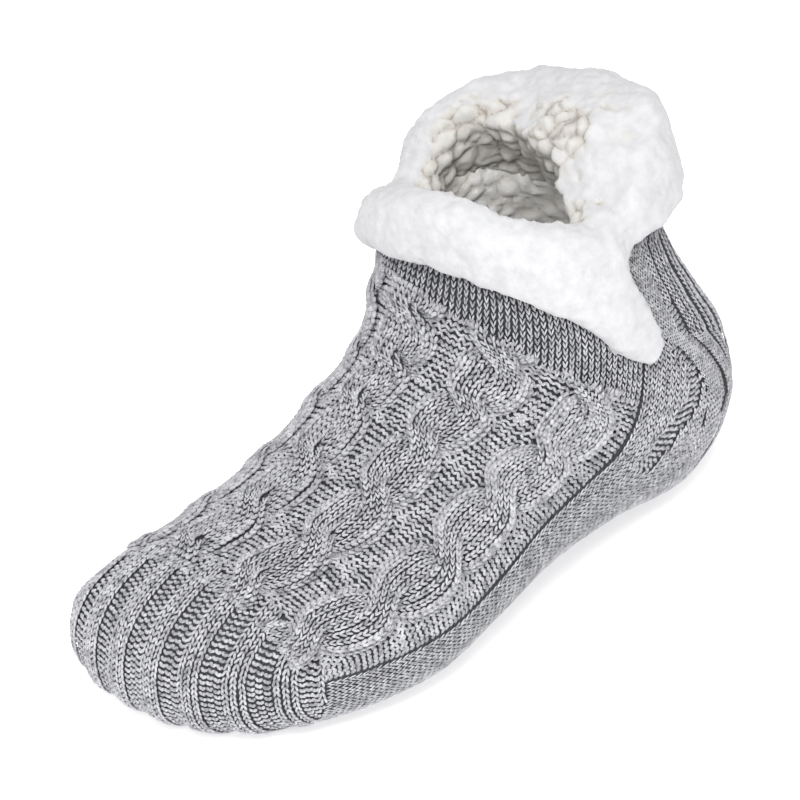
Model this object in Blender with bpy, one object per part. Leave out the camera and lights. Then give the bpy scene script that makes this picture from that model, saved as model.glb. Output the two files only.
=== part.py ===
# Slipper sock: a chunky cable-knit sock, toe to collar in one knitted shell, lined with sherpa
# fleece that turns out over the collar as a thick cuff.
# The toe points to -X, the heel to +X and the wearer's right to +Y, with the floor at z = 0.
# Run with: blender --background --python part.py

import math

import bmesh
import bpy
import numpy as np

# Driving sizes, in metres
SOCK_LENGTH = 0.253        # toe tip to the back of the heel
BALL_WIDTH = 0.1025        # across the ball of the foot
ANKLE_WIDTH = 0.098        # across the heel and the shaft
INSTEP_HEIGHT = 0.0815     # top of the instep above the floor
COLLAR_HEIGHT = 0.140      # front of the knitted collar above the floor
ARCH_RISE = 0.0068         # sole under the arch above the floor
PRESS_DEPTH = 0.0015       # how far the soft sole is pressed flat where it rests
TOE_SWING = 0.030          # toe tip towards the big toe
SHAFT_LEAN = 0.006         # collar towards the big toe side

KNIT_WALL = 0.0024         # thickness of the plain knit
ROPE_RELIEF = 0.0034       # cable ropes above the purl ground
RIB_RELIEF = 0.0020        # toe ribs above the purl ground
GROUND_SINK = 0.0010       # purl ground below the plain knit of the sole
LINING_WALL = 0.0045       # sherpa pile and backing inside the foot
CUFF_PILE = 0.0095         # turned-out cuff, outside the knit
CUFF_FOLD = 0.0090         # top of the fold above the knit's rim
FLAP_ROLL = 0.42           # back of the cuff, rolling in: share of the way across the opening
FLAP_RISE = 0.0125         # back of the cuff, standing up
CLEARANCE = 0.0003         # between two pieces that touch
EASE = 0.0004              # extra room where two curved walls run side by side

TOP_POWER = 2.15           # roundness of a section's upper half
SOLE_POWER = 2.6           # and of its lower half, which is squarer

# One section a station, from the toe tip to the collar. Each is a plane that fans round the ankle,
# from a point on the front line to a point on the sole and back line.
# front_at and back_at are shares of the length. front_low is a share of the instep height, and
# front_high of what the collar stands above it. back_up is a share of the collar height, arch of
# the arch rise and press of the press depth. ball and ankle are the half width, in shares of the
# ball and ankle widths. widest is where the section is widest, from the back line to the front.
SECTION_COLUMNS = ("front_at", "front_low", "front_high", "back_at", "back_up",
                   "arch", "press", "ball", "ankle", "widest")
SECTIONS = (
    (0.000, 0.30, 0.00, 0.000, 0.157, 0.00, 0.0, 0.010, 0.000, 0.58),
    (0.012, 0.44, 0.00, 0.012, 0.080, 0.00, 0.0, 0.190, 0.000, 0.58),
    (0.047, 0.57, 0.00, 0.047, 0.025, 0.00, 0.0, 0.330, 0.000, 0.58),
    (0.110, 0.65, 0.00, 0.110, 0.000, 0.00, 0.3, 0.420, 0.000, 0.57),
    (0.205, 0.71, 0.00, 0.205, 0.000, 0.00, 1.0, 0.475, 0.000, 0.55),
    (0.312, 0.785, 0.00, 0.324, 0.000, 0.00, 1.0, 0.500, 0.000, 0.53),
    (0.393, 0.88, 0.00, 0.455, 0.000, 0.40, 0.0, 0.420, 0.070, 0.51),
    (0.450, 1.00, 0.00, 0.589, 0.000, 1.00, 0.0, 0.280, 0.200, 0.51),
    (0.489, 1.00, 0.14, 0.727, 0.000, 0.55, 0.0, 0.120, 0.360, 0.52),
    (0.510, 1.00, 0.33, 0.869, 0.000, 0.00, 2.0, 0.000, 0.500, 0.55),
    (0.528, 1.00, 0.48, 0.971, 0.080, 0.00, 0.0, 0.000, 0.515, 0.59),
    (0.540, 1.00, 0.61, 1.000, 0.222, 0.00, 0.0, 0.000, 0.520, 0.61),
    (0.549, 1.00, 0.72, 0.987, 0.384, 0.00, 0.0, 0.000, 0.510, 0.61),
    (0.554, 1.00, 0.82, 0.942, 0.552, 0.00, 0.0, 0.000, 0.495, 0.60),
    (0.557, 1.00, 0.91, 0.902, 0.706, 0.00, 0.0, 0.000, 0.475, 0.59),
    (0.558, 1.00, 1.00, 0.880, 0.852, 0.00, 0.0, 0.000, 0.460, 0.58),
    (0.559, 1.00, 1.09, 0.880, 0.975, 0.00, 0.0, 0.000, 0.440, 0.57),
)
RIM_STATION = float(len(SECTIONS) - 1)
SWING_END = 0.356          # share of the length where the toe's swing has died out
LEAN_START = 0.285         # share of the collar height where the shaft starts to lean

# Across a section, a side coordinate of 0 is the front line, -1 and 1 are the side seams and
# -2 and 2 the middle of the sole and back. Each quarter is shared out by length along the knit.
# The cable panel: shift is the middle of the panel, and pitch the distance between two cables.
PANEL_COLUMNS = ("station", "shift", "pitch")
PANEL = (
    (0.0, 0.02, 0.48),
    (4.0, 0.02, 0.48),
    (6.0, 0.01, 0.46),
    (7.3, -0.06, 0.44),
    (8.8, -0.14, 0.40),
    (16.0, -0.14, 0.40),
)
CABLES = (-1.5, -0.5, 0.5, 1.5)                  # cable centres, in pitches from the panel's middle
CROSSINGS = (3.45, 4.40, 5.40, 6.65, 8.00, 9.60)   # stations where the two ropes of a cable cross
ROPE_OFFSET = 0.15         # a rope's swing from the cable's centre, in pitches
ROPE_HALF = 0.17           # half a rope's width, in pitches
RIBS_START, RIBS_END = 1.0, 3.5                   # stations of the toe ribs
RIBS_PER_PITCH = 3

# The knit's rim, from the middle of the back round the near side and the front: how many
# stations it drops below the last one, and how much of the flap's rise and inward roll the cuff
# has there.
RIM_COLUMNS = ("side", "drop", "rise", "roll")
RIM = (
    (-2.0, 0.0, 0.85, 1.00),
    (-1.6, 0.0, 1.25, 1.00),
    (-1.3, 0.3, 0.85, 0.90),
    (-1.1, 0.7, 0.2, 0.55),
    (-0.9, 0.9, 0.0, 0.15),
    (-0.7, 0.8, 0.0, 0.00),
    (-0.4, 0.4, 0.0, 0.00),
    (-0.2, 0.2, 0.0, 0.00),
    (0.0, 0.5, 0.0, 0.00),
    (0.25, 1.5, 0.0, 0.00),
    (0.5, 2.7, 0.0, 0.00),
    (0.75, 2.4, 0.0, 0.00),
    (1.0, 1.3, 0.0, 0.00),
    (1.2, 0.6, 0.1, 0.10),
    (1.6, 0.2, 0.3, 0.55),
    (2.0, 0.0, 0.85, 1.00),
)
SLEEVE_START = 11.0        # station where the rings start to follow the rim

# The cuff's lower edge, from the middle of the back round the near side and the front.
CUFF_COLUMNS = ("side", "station")
CUFF_EDGE = (
    (-2.00, 15.0), (-1.42, 15.3), (-1.17, 14.95), (-1.10, 13.9), (-1.05, 11.6), (-1.00, 11.0),
    (-0.90, 11.0), (-0.76, 11.5), (-0.60, 12.1), (-0.42, 12.5), (-0.20, 12.5), (0.00, 12.2),
    (0.25, 11.6), (0.50, 11.2), (0.75, 11.0), (1.00, 11.0), (1.05, 11.6), (1.10, 13.9),
    (1.17, 14.9), (1.42, 15.1), (2.00, 15.0),
)
# Side coordinates of the columns from a side seam round the sole and back, close at the tails.
SOLE_SIDES = (1.0, 1.05, 1.10, 1.17, 1.28, 1.42, 1.56, 1.70, 1.85, 2.0)
LINING_TOP = 14.6          # station where the lining inside meets the cuff's inner leg

# The cuff in section. Each point goes up a leg (climb is the share of the way from its lower edge
# to the rim) or lifts above the rim (a share of the fold). out is how far it stands from the
# knit, in shares of the pile, or of the depth of the lining's inside where it is negative. roll
# is a share of the roll there.
OUTER_LEG_COLUMNS = ("climb", "out")
OUTER_LEG = (
    (0.00, 0.45), (0.06, 0.80), (0.22, 1.00), (0.48, 1.06), (0.76, 1.06), (1.00, 1.00),
)
FOLD_COLUMNS = ("lift", "out", "roll")
FOLD = (
    (0.45, 0.90, 0.00), (0.85, 0.55, 0.00), (1.00, 0.00, 0.00), (0.88, -0.50, 0.55), (0.45, -0.92, 1.00),
)
INNER_LEG_COLUMNS = ("climb", "roll")
INNER_LEG = (
    (1.0, 0.9), (0.5, 0.4), (0.0, 0.0),
)
# The roll goes towards a point between the middle of the rim and this side coordinate on it.
ROLL_TOWARDS = 0.35
FACE_CLIMBS = (0.0, 0.25, 0.5, 0.75, 1.0)


# One named column of a table.
def column(names, rows, name):
    place = names.index(name)
    return np.array([row[place] for row in rows])


def rim_value(name, side):
    return np.interp(side, column(RIM_COLUMNS, RIM, "side"), column(RIM_COLUMNS, RIM, name))


# Slopes that never overshoot the rows (a monotone cubic through the table).
def smooth(rows, at):
    steps = np.diff(rows, axis=0)
    slopes = np.zeros_like(rows)
    before, after = steps[:-1], steps[1:]
    same_way = before * after > 0
    safe_sum = np.where(same_way, before + after, 1.0)
    slopes[1:-1] = np.where(same_way, 2 * before * after / safe_sum, 0.0)
    slopes[0], slopes[-1] = steps[0], steps[-1]
    first = np.clip(np.floor(at).astype(int), 0, len(rows) - 2)
    t = (at - first)[..., None]
    left = (2 * t**3 - 3 * t**2 + 1) * rows[first] + (t**3 - 2 * t**2 + t) * slopes[first]
    right = (3 * t**2 - 2 * t**3) * rows[first + 1] + (t**3 - t**2) * slopes[first + 1]
    return left + right


# The front point, back point, half width and widest place of every station, in metres.
def section_sizes():
    share = {name: column(SECTION_COLUMNS, SECTIONS, name) for name in SECTION_COLUMNS}
    front_x = share["front_at"] * SOCK_LENGTH
    front_z = share["front_low"] * INSTEP_HEIGHT + share["front_high"] * (COLLAR_HEIGHT - INSTEP_HEIGHT)
    back_x = share["back_at"] * SOCK_LENGTH
    back_z = share["back_up"] * COLLAR_HEIGHT + share["arch"] * ARCH_RISE - share["press"] * PRESS_DEPTH
    half_width = share["ball"] * BALL_WIDTH + share["ankle"] * ANKLE_WIDTH
    return np.stack([front_x, front_z, back_x, back_z, half_width, share["widest"]], axis=-1)


SECTION_SIZES = section_sizes()


# The outer face of the plain knit, before the floor presses it flat.
def last_surface(station, angle):
    sizes = smooth(SECTION_SIZES, station)
    front_x, front_z, back_x, back_z, half_width, widest = [sizes[..., k] for k in range(6)]
    wide_x = back_x + (front_x - back_x) * widest
    wide_z = back_z + (front_z - back_z) * widest
    up = np.cos(angle)
    power = np.where(up > 0, TOP_POWER, SOLE_POWER)
    rise = np.abs(up) ** (2 / power)
    reach = np.sign(np.sin(angle)) * np.abs(np.sin(angle)) ** (2 / power)
    x = wide_x + np.where(up > 0, (front_x - wide_x), (back_x - wide_x)) * rise
    z = wide_z + np.where(up > 0, (front_z - wide_z), (back_z - wide_z)) * rise
    y = half_width * reach
    y = y + TOE_SWING * np.clip(1 - x / (SWING_END * SOCK_LENGTH), 0, 1) ** 2
    leaning = (z / COLLAR_HEIGHT - LEAN_START) / (1 - LEAN_START)
    y = y + SHAFT_LEAN * np.clip(leaning, 0, 1.4)
    return np.stack([x, y, z], axis=-1)


# The angle of each side coordinate, so that a quarter's columns are evenly spaced along the knit.
def angle_of(station, side):
    dense = np.linspace(-math.pi, math.pi, 721)
    quarter = (len(dense) - 1) // 4
    angles = np.zeros(np.shape(station))
    for place in np.ndindex(angles.shape[0]):
        level = station[place]
        if np.ptp(level) < 1e-9:
            length = section_length(level[0], dense)
            angles[place] = share_out(length, dense, quarter, side[place])
        else:
            for k, one in enumerate(level):
                length = section_length(one, dense)
                angles[place][k] = share_out(length, dense, quarter, side[place][k:k + 1])[0]
    return angles


def section_length(level, dense):
    points = last_surface(np.full(dense.shape, level), dense)
    steps = np.linalg.norm(np.diff(points, axis=0), axis=1)
    return np.concatenate([[0.0], np.cumsum(steps)])


def share_out(length, dense, quarter, side):
    first = np.clip(np.floor(side).astype(int) + 2, 0, 3)
    low, high = length[first * quarter], length[(first + 1) * quarter]
    return np.interp(low + (side + 2 - first) * (high - low), length, dense)


# Points, outward normals and the way up the knit on the pressed outer face.
def knit_face(station, side):
    angle = angle_of(station, side)
    tiny = 1e-3
    station_low = np.clip(station - tiny, 0.02, None)
    along = last_surface(station + tiny, angle) - last_surface(station_low, angle)
    around = last_surface(station, angle + tiny) - last_surface(station, angle - tiny)
    normal = np.cross(along, around)
    normal /= np.linalg.norm(normal, axis=-1, keepdims=True)
    along /= np.linalg.norm(along, axis=-1, keepdims=True)
    points = last_surface(station, angle)
    points[..., 2] = np.maximum(points[..., 2], 0.0)
    return points, normal, along


def panel_at(station):
    stations = column(PANEL_COLUMNS, PANEL, "station")
    shift = np.interp(station, stations, column(PANEL_COLUMNS, PANEL, "shift"))
    pitch = np.interp(station, stations, column(PANEL_COLUMNS, PANEL, "pitch"))
    return shift, pitch


def soft_step(value, low, high):
    t = np.clip((value - low) / (high - low), 0, 1)
    return t * t * (3 - 2 * t)


# How far the raised ropes and ribs stand from the plain knit, in metres.
def relief(station, side):
    shift, pitch = panel_at(station)
    across = (side - shift) / pitch
    turn = np.interp(station, CROSSINGS, np.arange(len(CROSSINGS)))
    swing = ROPE_OFFSET * np.sin(math.pi * turn)
    height = np.zeros(np.shape(station))
    for centre in CABLES:
        for way in (-1, 1):
            off = (across - centre - way * swing) / ROPE_HALF
            height = np.maximum(height, np.sqrt(np.clip(1 - off * off, 0, 1)))
    in_cables = soft_step(station, CROSSINGS[0] - 0.2, CROSSINGS[0] + 0.2)
    in_cables = in_cables * (1 - soft_step(station, CROSSINGS[-1] - 0.1, CROSSINGS[-1] + 0.3))
    in_panel = 1 - soft_step(np.abs(side), 0.93, 1.0)
    ribs = 0.5 + 0.5 * np.cos(2 * math.pi * across * RIBS_PER_PITCH)
    in_ribs = soft_step(station, RIBS_START, RIBS_START + 1)
    in_ribs = in_ribs * (1 - soft_step(station, RIBS_END - 0.3, RIBS_END))
    ropes = in_cables * (height * ROPE_RELIEF - GROUND_SINK)
    return in_panel * (ropes + in_ribs * (ribs * RIB_RELIEF - GROUND_SINK))


def rim_station(side):
    return RIM_STATION - rim_value("drop", side)


# Side coordinates of the knit's columns: six to a cable pitch over the panel, then on to the
# side seams, and round the sole and back.
def knit_columns(station):
    shift, pitch = panel_at(station)
    half = 2 * RIBS_PER_PITCH * 2
    panel = shift + pitch * np.arange(-half, half + 1) / (2 * RIBS_PER_PITCH)
    between = np.array([1, 2]) / 3
    near = -1 + (panel[0] + 1) * between
    far = panel[-1] + (1 - panel[-1]) * between
    sole = np.array(SOLE_SIDES)
    return np.concatenate([[-1.0], near, panel, far, sole, -sole[-2:0:-1]])


# Points and normals of one ring a level. Above the sleeve's start the rings follow the rim.
def face_grid(levels):
    sides = np.array([knit_columns(level) for level in levels])
    stations = np.repeat(np.array(levels, float)[:, None], sides.shape[1], axis=1)
    stations = np.where(stations > SLEEVE_START, follow_rim(stations, rim_station(sides)), stations)
    points, normals, _ = knit_face(stations, sides)
    return stations, sides, points, normals


def follow_rim(station, rim):
    climb = (station - SLEEVE_START) / (RIM_STATION - SLEEVE_START)
    return SLEEVE_START + climb * (rim - SLEEVE_START)


# Closes rings of points into one solid. Its ends are toe ends, closed by their middle, unless
# they are joined. From the ring turned_from on, the rings run back inside, and their triangles
# are split the other way, so that they lie parallel to those of the piece within.
def solid_from_rings(name, rings, turned_from, colour, roughness, joined_ends=False):
    mesh = bpy.data.meshes.new(name)
    shape = bmesh.new()
    loops = [[shape.verts.new(point) for point in ring] for ring in rings]
    pairs = list(zip(loops, loops[1:]))
    if joined_ends:
        pairs.append((loops[-1], loops[0]))
    count = len(loops[0])
    for place, (lower, upper) in enumerate(pairs):
        for k in range(count):
            after = (k + 1) % count
            corners = (lower[k], lower[after], upper[after], upper[k])
            if place >= turned_from:
                corners = corners[1:] + corners[:1]
            shape.faces.new(corners[:3])
            shape.faces.new((corners[0], corners[2], corners[3]))
    if not joined_ends:
        for loop, ring in ((loops[0], rings[0]), (loops[-1], rings[-1])):
            middle = shape.verts.new(np.mean(ring, axis=0))
            for k in range(count):
                shape.faces.new((loop[k], loop[(k + 1) % count], middle))
    bmesh.ops.recalc_face_normals(shape, faces=shape.faces)
    shape.to_mesh(mesh)
    shape.free()
    mesh.shade_smooth()
    mesh.set_sharp_from_angle(angle=math.radians(50))
    mesh.materials.append(make_material(name, colour, roughness))
    piece = bpy.data.objects.new(name, mesh)
    part_collection().objects.link(piece)
    return piece


def make_material(name, colour, roughness):
    material = bpy.data.materials.new(name)
    material.use_nodes = True
    shader = material.node_tree.nodes["Principled BSDF"]
    shader.inputs["Base Color"].default_value = (*colour, 1.0)
    shader.inputs["Roughness"].default_value = roughness
    shader.inputs["Metallic"].default_value = 0.0
    material.diffuse_color = (*colour, 1.0)
    return material


def part_collection():
    found = bpy.data.collections.get("slipper_sock")
    if found is None:
        found = bpy.data.collections.new("slipper_sock")
        bpy.context.scene.collection.children.link(found)
    return found


# How deep the inside faces of the knit and of the lining lie under the outer face of the knit.
KNIT_DEPTH = KNIT_WALL + GROUND_SINK
LINING_DEPTH = KNIT_DEPTH + CLEARANCE + LINING_WALL

# Stations of the rings: crowded over the toe and the cables, where the surface turns fastest.
OUTER_LEVELS = np.concatenate([
    np.linspace(0.3, 3.2, 8), np.linspace(3.45, 9.6, 24), np.linspace(10.1, RIM_STATION, 13)])
TOE_LEVELS = np.array([0.5, 1.1, 1.8, 2.6, 3.4])
SHELL_LEVELS = np.concatenate([TOE_LEVELS, np.linspace(4.4, SLEEVE_START, 7)])
SLEEVE_LEVELS = np.linspace(12.0, RIM_STATION, 5)


# The knitted shell: upper and sole in one, ropes and ribs raised outside, plain inside.
def knit_shell_rings():
    stations, sides, points, normals = face_grid(OUTER_LEVELS)
    outer = points + normals * relief(stations, sides)[..., None]
    outer[..., 2] = np.maximum(outer[..., 2], 0.0)
    _, _, points, normals = face_grid(np.concatenate([SHELL_LEVELS, SLEEVE_LEVELS]))
    inner = points - normals * KNIT_DEPTH
    return list(outer) + list(inner[::-1]), len(outer)


# The sherpa lining: a thick fleece sock inside the knit, up to the cuff's inner leg.
def lining_rings():
    levels = np.concatenate([SHELL_LEVELS, SLEEVE_LEVELS[SLEEVE_LEVELS < LINING_TOP], [LINING_TOP]])
    _, _, points, normals = face_grid(levels)
    outer = points - normals * (KNIT_DEPTH + CLEARANCE)
    levels = np.concatenate([TOE_LEVELS[2:], levels[levels > TOE_LEVELS[-1]]])
    _, _, points, normals = face_grid(levels)
    inner = points - normals * LINING_DEPTH
    return list(outer) + list(inner[::-1]), len(outer)


# The cuff: the lining turned out over the rim, with a leg on each side of the knit, a tail at
# each side seam and a flap at the back that rolls in over the opening.
def cuff_rings():
    side = knit_columns(RIM_STATION)
    edge_side = column(CUFF_COLUMNS, CUFF_EDGE, "side")
    edge = np.interp(side, edge_side, column(CUFF_COLUMNS, CUFF_EDGE, "station"))
    rim = rim_station(side)
    roll = FLAP_ROLL * rim_value("roll", side)[:, None]
    fold = CUFF_FOLD + FLAP_RISE * rim_value("rise", side)
    rim_points, rim_normals, rim_up = [grid[0] for grid in knit_face(rim[None], side[None])]

    roll_to = (rim_points.mean(axis=0) + rim_points[np.argmin(np.abs(side - ROLL_TOWARDS))]) / 2
    level = np.array([1.0, 1.0, 0.0])

    def rolled(points, share):
        return points + share * roll * (roll_to - points) * level

    def leg(low, climb, out):
        points, normals, _ = knit_face((low + climb * (rim - low))[None], side[None])
        return points[0] + normals[0] * np.broadcast_to(out, side.shape)[:, None]

    def over_rim(lift, out):
        lift, out = np.broadcast_to(lift, side.shape), np.broadcast_to(out, side.shape)
        return rim_points + rim_up * lift[:, None] + rim_normals * out[:, None]

    knit_side = -KNIT_DEPTH - CLEARANCE
    inner_low = inner_leg_foot(side, rim)
    rings = []
    for climb, out in OUTER_LEG:
        rings.append(leg(edge, climb, out * CUFF_PILE))
    for lift, out, roll_share in FOLD:
        depth = out * (CUFF_PILE if out > 0 else LINING_DEPTH)
        rings.append(rolled(over_rim(lift * fold, depth), roll_share))
    for climb, roll_share in INNER_LEG:
        rings.append(rolled(leg(inner_low, climb, -LINING_DEPTH), roll_share))
    for climb in FACE_CLIMBS:
        rings.append(leg(inner_low, climb, knit_side - EASE * math.sin(math.pi * climb)))
    rings.append(over_rim(CLEARANCE, knit_side))
    rings.append(over_rim(CLEARANCE, CLEARANCE))
    for climb in FACE_CLIMBS[::-1]:
        rings.append(leg(edge, climb, CLEARANCE + EASE * (0.5 + 0.5 * math.sin(math.pi * climb))))
    return rings, len(rings)


# The station where the cuff's inner leg ends, two clearances above the lining.
def inner_leg_foot(side, rim):
    step = 0.2
    below, _, _ = knit_face(np.full((1, side.size), LINING_TOP), side[None])
    above, _, _ = knit_face(np.full((1, side.size), LINING_TOP + step), side[None])
    pace = np.linalg.norm(above - below, axis=-1)[0] / step
    return follow_rim(LINING_TOP, rim) + 2 * CLEARANCE / pace


def remove_everything():
    for old in list(bpy.data.objects):
        bpy.data.objects.remove(old, do_unlink=True)


# Everything is moved so that the origin is on the floor under the middle of the sock.
def build():
    remove_everything()
    pieces = {
        "knit_shell": (knit_shell_rings(), (0.42, 0.43, 0.44), 0.9, False),
        "sherpa_lining": (lining_rings(), (0.78, 0.76, 0.73), 0.95, False),
        "sherpa_cuff": (cuff_rings(), (0.90, 0.90, 0.90), 0.95, True),
    }
    everything = np.concatenate([np.concatenate(rings) for (rings, _), *_ in pieces.values()])
    low, high = everything.min(axis=0), everything.max(axis=0)
    origin = np.array([(low[0] + high[0]) / 2, (low[1] + high[1]) / 2, 0.0])
    for name, ((rings, turned_from), colour, roughness, joined) in pieces.items():
        placed = [ring - origin for ring in rings]
        solid_from_rings(name, placed, turned_from, colour, roughness, joined)


build()
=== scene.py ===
import math

import bpy
import mathutils
import numpy as np
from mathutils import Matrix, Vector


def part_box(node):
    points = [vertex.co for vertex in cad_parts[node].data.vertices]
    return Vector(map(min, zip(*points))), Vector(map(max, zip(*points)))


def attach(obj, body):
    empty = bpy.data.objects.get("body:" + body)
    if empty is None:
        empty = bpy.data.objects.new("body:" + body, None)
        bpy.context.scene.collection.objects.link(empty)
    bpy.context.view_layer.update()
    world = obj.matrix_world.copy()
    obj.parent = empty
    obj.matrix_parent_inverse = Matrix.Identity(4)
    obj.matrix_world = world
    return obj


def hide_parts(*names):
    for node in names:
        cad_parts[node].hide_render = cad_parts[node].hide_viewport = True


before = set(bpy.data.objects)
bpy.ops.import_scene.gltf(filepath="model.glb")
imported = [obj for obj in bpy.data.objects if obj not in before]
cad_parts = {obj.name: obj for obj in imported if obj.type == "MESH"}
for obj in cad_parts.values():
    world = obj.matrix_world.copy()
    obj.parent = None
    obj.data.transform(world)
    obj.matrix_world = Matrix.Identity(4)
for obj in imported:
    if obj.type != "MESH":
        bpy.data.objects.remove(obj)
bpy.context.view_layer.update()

# Slipper sock: grey cable knit, sherpa lining and a thick turned-out cuff.
# Every stitch is a pair of short yarn legs set out on the sock's own surface.

mm = 0.001

sock = {
    "length": 253 * mm,         # toe tip to the back of the heel
    "ballWidth": 102.5 * mm,
    "ankleWidth": 98 * mm,
    "instepHeight": 81.5 * mm,
    "collarHeight": 140 * mm,
    "archRise": 6.8 * mm,
    "pressDepth": 1.5 * mm,     # how far the soft sole is pressed flat
    "toeSwing": 30 * mm,        # toe tip towards the big toe
    "shaftLean": 6 * mm,        # collar towards the big toe side
    "topPower": 2.15,           # roundness of a section's upper half
    "solePower": 2.6,           # and of its lower half
    "swingEnd": 0.356,          # share of the length where the swing has died out
    "leanStart": 0.285,         # share of the collar height where the lean starts
}

# Sections from the toe tip to the collar, in shares of the sizes above, as the solids have them.
sectionColumns = ("frontAt", "frontLow", "frontHigh", "backAt", "backUp", "arch", "press",
                  "ball", "ankle", "widest")
sections = (
    (0.000, 0.30, 0.00, 0.000, 0.157, 0.00, 0.0, 0.010, 0.000, 0.58),
    (0.012, 0.44, 0.00, 0.012, 0.080, 0.00, 0.0, 0.190, 0.000, 0.58),
    (0.047, 0.57, 0.00, 0.047, 0.025, 0.00, 0.0, 0.330, 0.000, 0.58),
    (0.110, 0.65, 0.00, 0.110, 0.000, 0.00, 0.3, 0.420, 0.000, 0.57),
    (0.205, 0.71, 0.00, 0.205, 0.000, 0.00, 1.0, 0.475, 0.000, 0.55),
    (0.312, 0.785, 0.00, 0.324, 0.000, 0.00, 1.0, 0.500, 0.000, 0.53),
    (0.393, 0.88, 0.00, 0.455, 0.000, 0.40, 0.0, 0.420, 0.070, 0.51),
    (0.450, 1.00, 0.00, 0.589, 0.000, 1.00, 0.0, 0.280, 0.200, 0.51),
    (0.489, 1.00, 0.14, 0.727, 0.000, 0.55, 0.0, 0.120, 0.360, 0.52),
    (0.510, 1.00, 0.33, 0.869, 0.000, 0.00, 2.0, 0.000, 0.500, 0.55),
    (0.528, 1.00, 0.48, 0.971, 0.080, 0.00, 0.0, 0.000, 0.515, 0.59),
    (0.540, 1.00, 0.61, 1.000, 0.222, 0.00, 0.0, 0.000, 0.520, 0.61),
    (0.549, 1.00, 0.72, 0.987, 0.384, 0.00, 0.0, 0.000, 0.510, 0.61),
    (0.554, 1.00, 0.82, 0.942, 0.552, 0.00, 0.0, 0.000, 0.495, 0.60),
    (0.557, 1.00, 0.91, 0.902, 0.706, 0.00, 0.0, 0.000, 0.475, 0.59),
    (0.558, 1.00, 1.00, 0.880, 0.852, 0.00, 0.0, 0.000, 0.460, 0.58),
    (0.559, 1.00, 1.09, 0.880, 0.975, 0.00, 0.0, 0.000, 0.440, 0.57),
)
lastStation = len(sections) - 1


def smoothRows(rows, at):  # a monotone cubic through the table's rows
    steps = np.diff(rows, axis=0)
    slopes = np.zeros_like(rows)
    before, after = steps[:-1], steps[1:]
    sameWay = before * after > 0
    safeSum = np.where(sameWay, before + after, 1.0)
    slopes[1:-1] = np.where(sameWay, 2 * before * after / safeSum, 0.0)
    slopes[0], slopes[-1] = steps[0], steps[-1]
    first = np.clip(np.floor(at).astype(int), 0, len(rows) - 2)
    t = (at - first)[..., None]
    left = (2 * t**3 - 3 * t**2 + 1) * rows[first] + (t**3 - 2 * t**2 + t) * slopes[first]
    right = (3 * t**2 - 2 * t**3) * rows[first + 1] + (t**3 - t**2) * slopes[first + 1]
    return left + right


def sectionRows():
    share = dict(zip(sectionColumns, np.array(sections).T))
    shaft = sock["collarHeight"] - sock["instepHeight"]
    return np.stack([
        share["frontAt"] * sock["length"],
        share["frontLow"] * sock["instepHeight"] + share["frontHigh"] * shaft,
        share["backAt"] * sock["length"],
        share["backUp"] * sock["collarHeight"] + share["arch"] * sock["archRise"]
        - share["press"] * sock["pressDepth"],
        share["ball"] * sock["ballWidth"] + share["ankle"] * sock["ankleWidth"],
        share["widest"],
    ], axis=-1)


def sockSurface(station, angle):
    frontX, frontZ, backX, backZ, halfWidth, widest = np.moveaxis(smoothRows(sectionRows(), station), -1, 0)
    wideX = backX + (frontX - backX) * widest
    wideZ = backZ + (frontZ - backZ) * widest
    up = np.cos(angle)
    power = np.where(up > 0, sock["topPower"], sock["solePower"])
    rise = np.abs(up) ** (2 / power)
    reach = np.sign(np.sin(angle)) * np.abs(np.sin(angle)) ** (2 / power)
    x = wideX + np.where(up > 0, frontX - wideX, backX - wideX) * rise
    z = wideZ + np.where(up > 0, frontZ - wideZ, backZ - wideZ) * rise
    y = halfWidth * reach
    y = y + sock["toeSwing"] * np.clip(1 - x / (sock["swingEnd"] * sock["length"]), 0, 1) ** 2
    leaning = (z / sock["collarHeight"] - sock["leanStart"]) / (1 - sock["leanStart"])
    y = y + sock["shaftLean"] * np.clip(leaning, 0, 1.4)
    return np.stack([x, y, z], axis=-1)


# A fine net over the whole knit. Across it, side is 0 on the front line, -1 and 1 on the side
# seams and -2 and 2 on the middle of the sole and back, each quarter shared out by length.
net = {"stationStep": 0.02, "sideStep": 0.01, "firstStation": 0.06}


def buildNet():
    stations = np.arange(net["firstStation"], lastStation + 0.5 * net["stationStep"], net["stationStep"])
    sides = np.arange(-2, 2 + 0.5 * net["sideStep"], net["sideStep"])
    dense = np.linspace(-math.pi, math.pi, 721)
    around = sockSurface(np.repeat(stations[:, None], len(dense), 1),
                         np.repeat(dense[None], len(stations), 0))
    steps = np.linalg.norm(np.diff(around, axis=1), axis=-1)
    length = np.concatenate([np.zeros((len(stations), 1)), np.cumsum(steps, axis=1)], axis=1)
    quarter = (len(dense) - 1) // 4
    which = np.clip(np.floor(sides).astype(int) + 2, 0, 3)
    angles = np.empty((len(stations), len(sides)))
    for row in range(len(stations)):
        low, high = length[row, which * quarter], length[row, (which + 1) * quarter]
        angles[row] = np.interp(low + (sides + 2 - which) * (high - low), length[row], dense)
    stationGrid = np.repeat(stations[:, None], len(sides), 1)
    points = sockSurface(stationGrid, angles)
    tiny = 1e-3
    along = sockSurface(stationGrid + tiny, angles) - sockSurface(stationGrid - tiny, angles)
    across = sockSurface(stationGrid, angles + tiny) - sockSurface(stationGrid, angles - tiny)
    normals = np.cross(along, across)
    normals /= np.linalg.norm(normals, axis=-1, keepdims=True)
    points[..., 2] = np.maximum(points[..., 2], 0)
    knitLow = np.array(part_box("knit_shell")[0])
    shift = np.array([sock["length"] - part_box("knit_shell")[1][0], points[..., 1].min() - knitLow[1], 0])
    return stations, sides, points - shift, normals, shift


netStations, netSides, netPoints, netNormals, netShift = buildNet()
print("sock surface laid out, moved by", (netShift * 1000).round(2), "mm")


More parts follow.
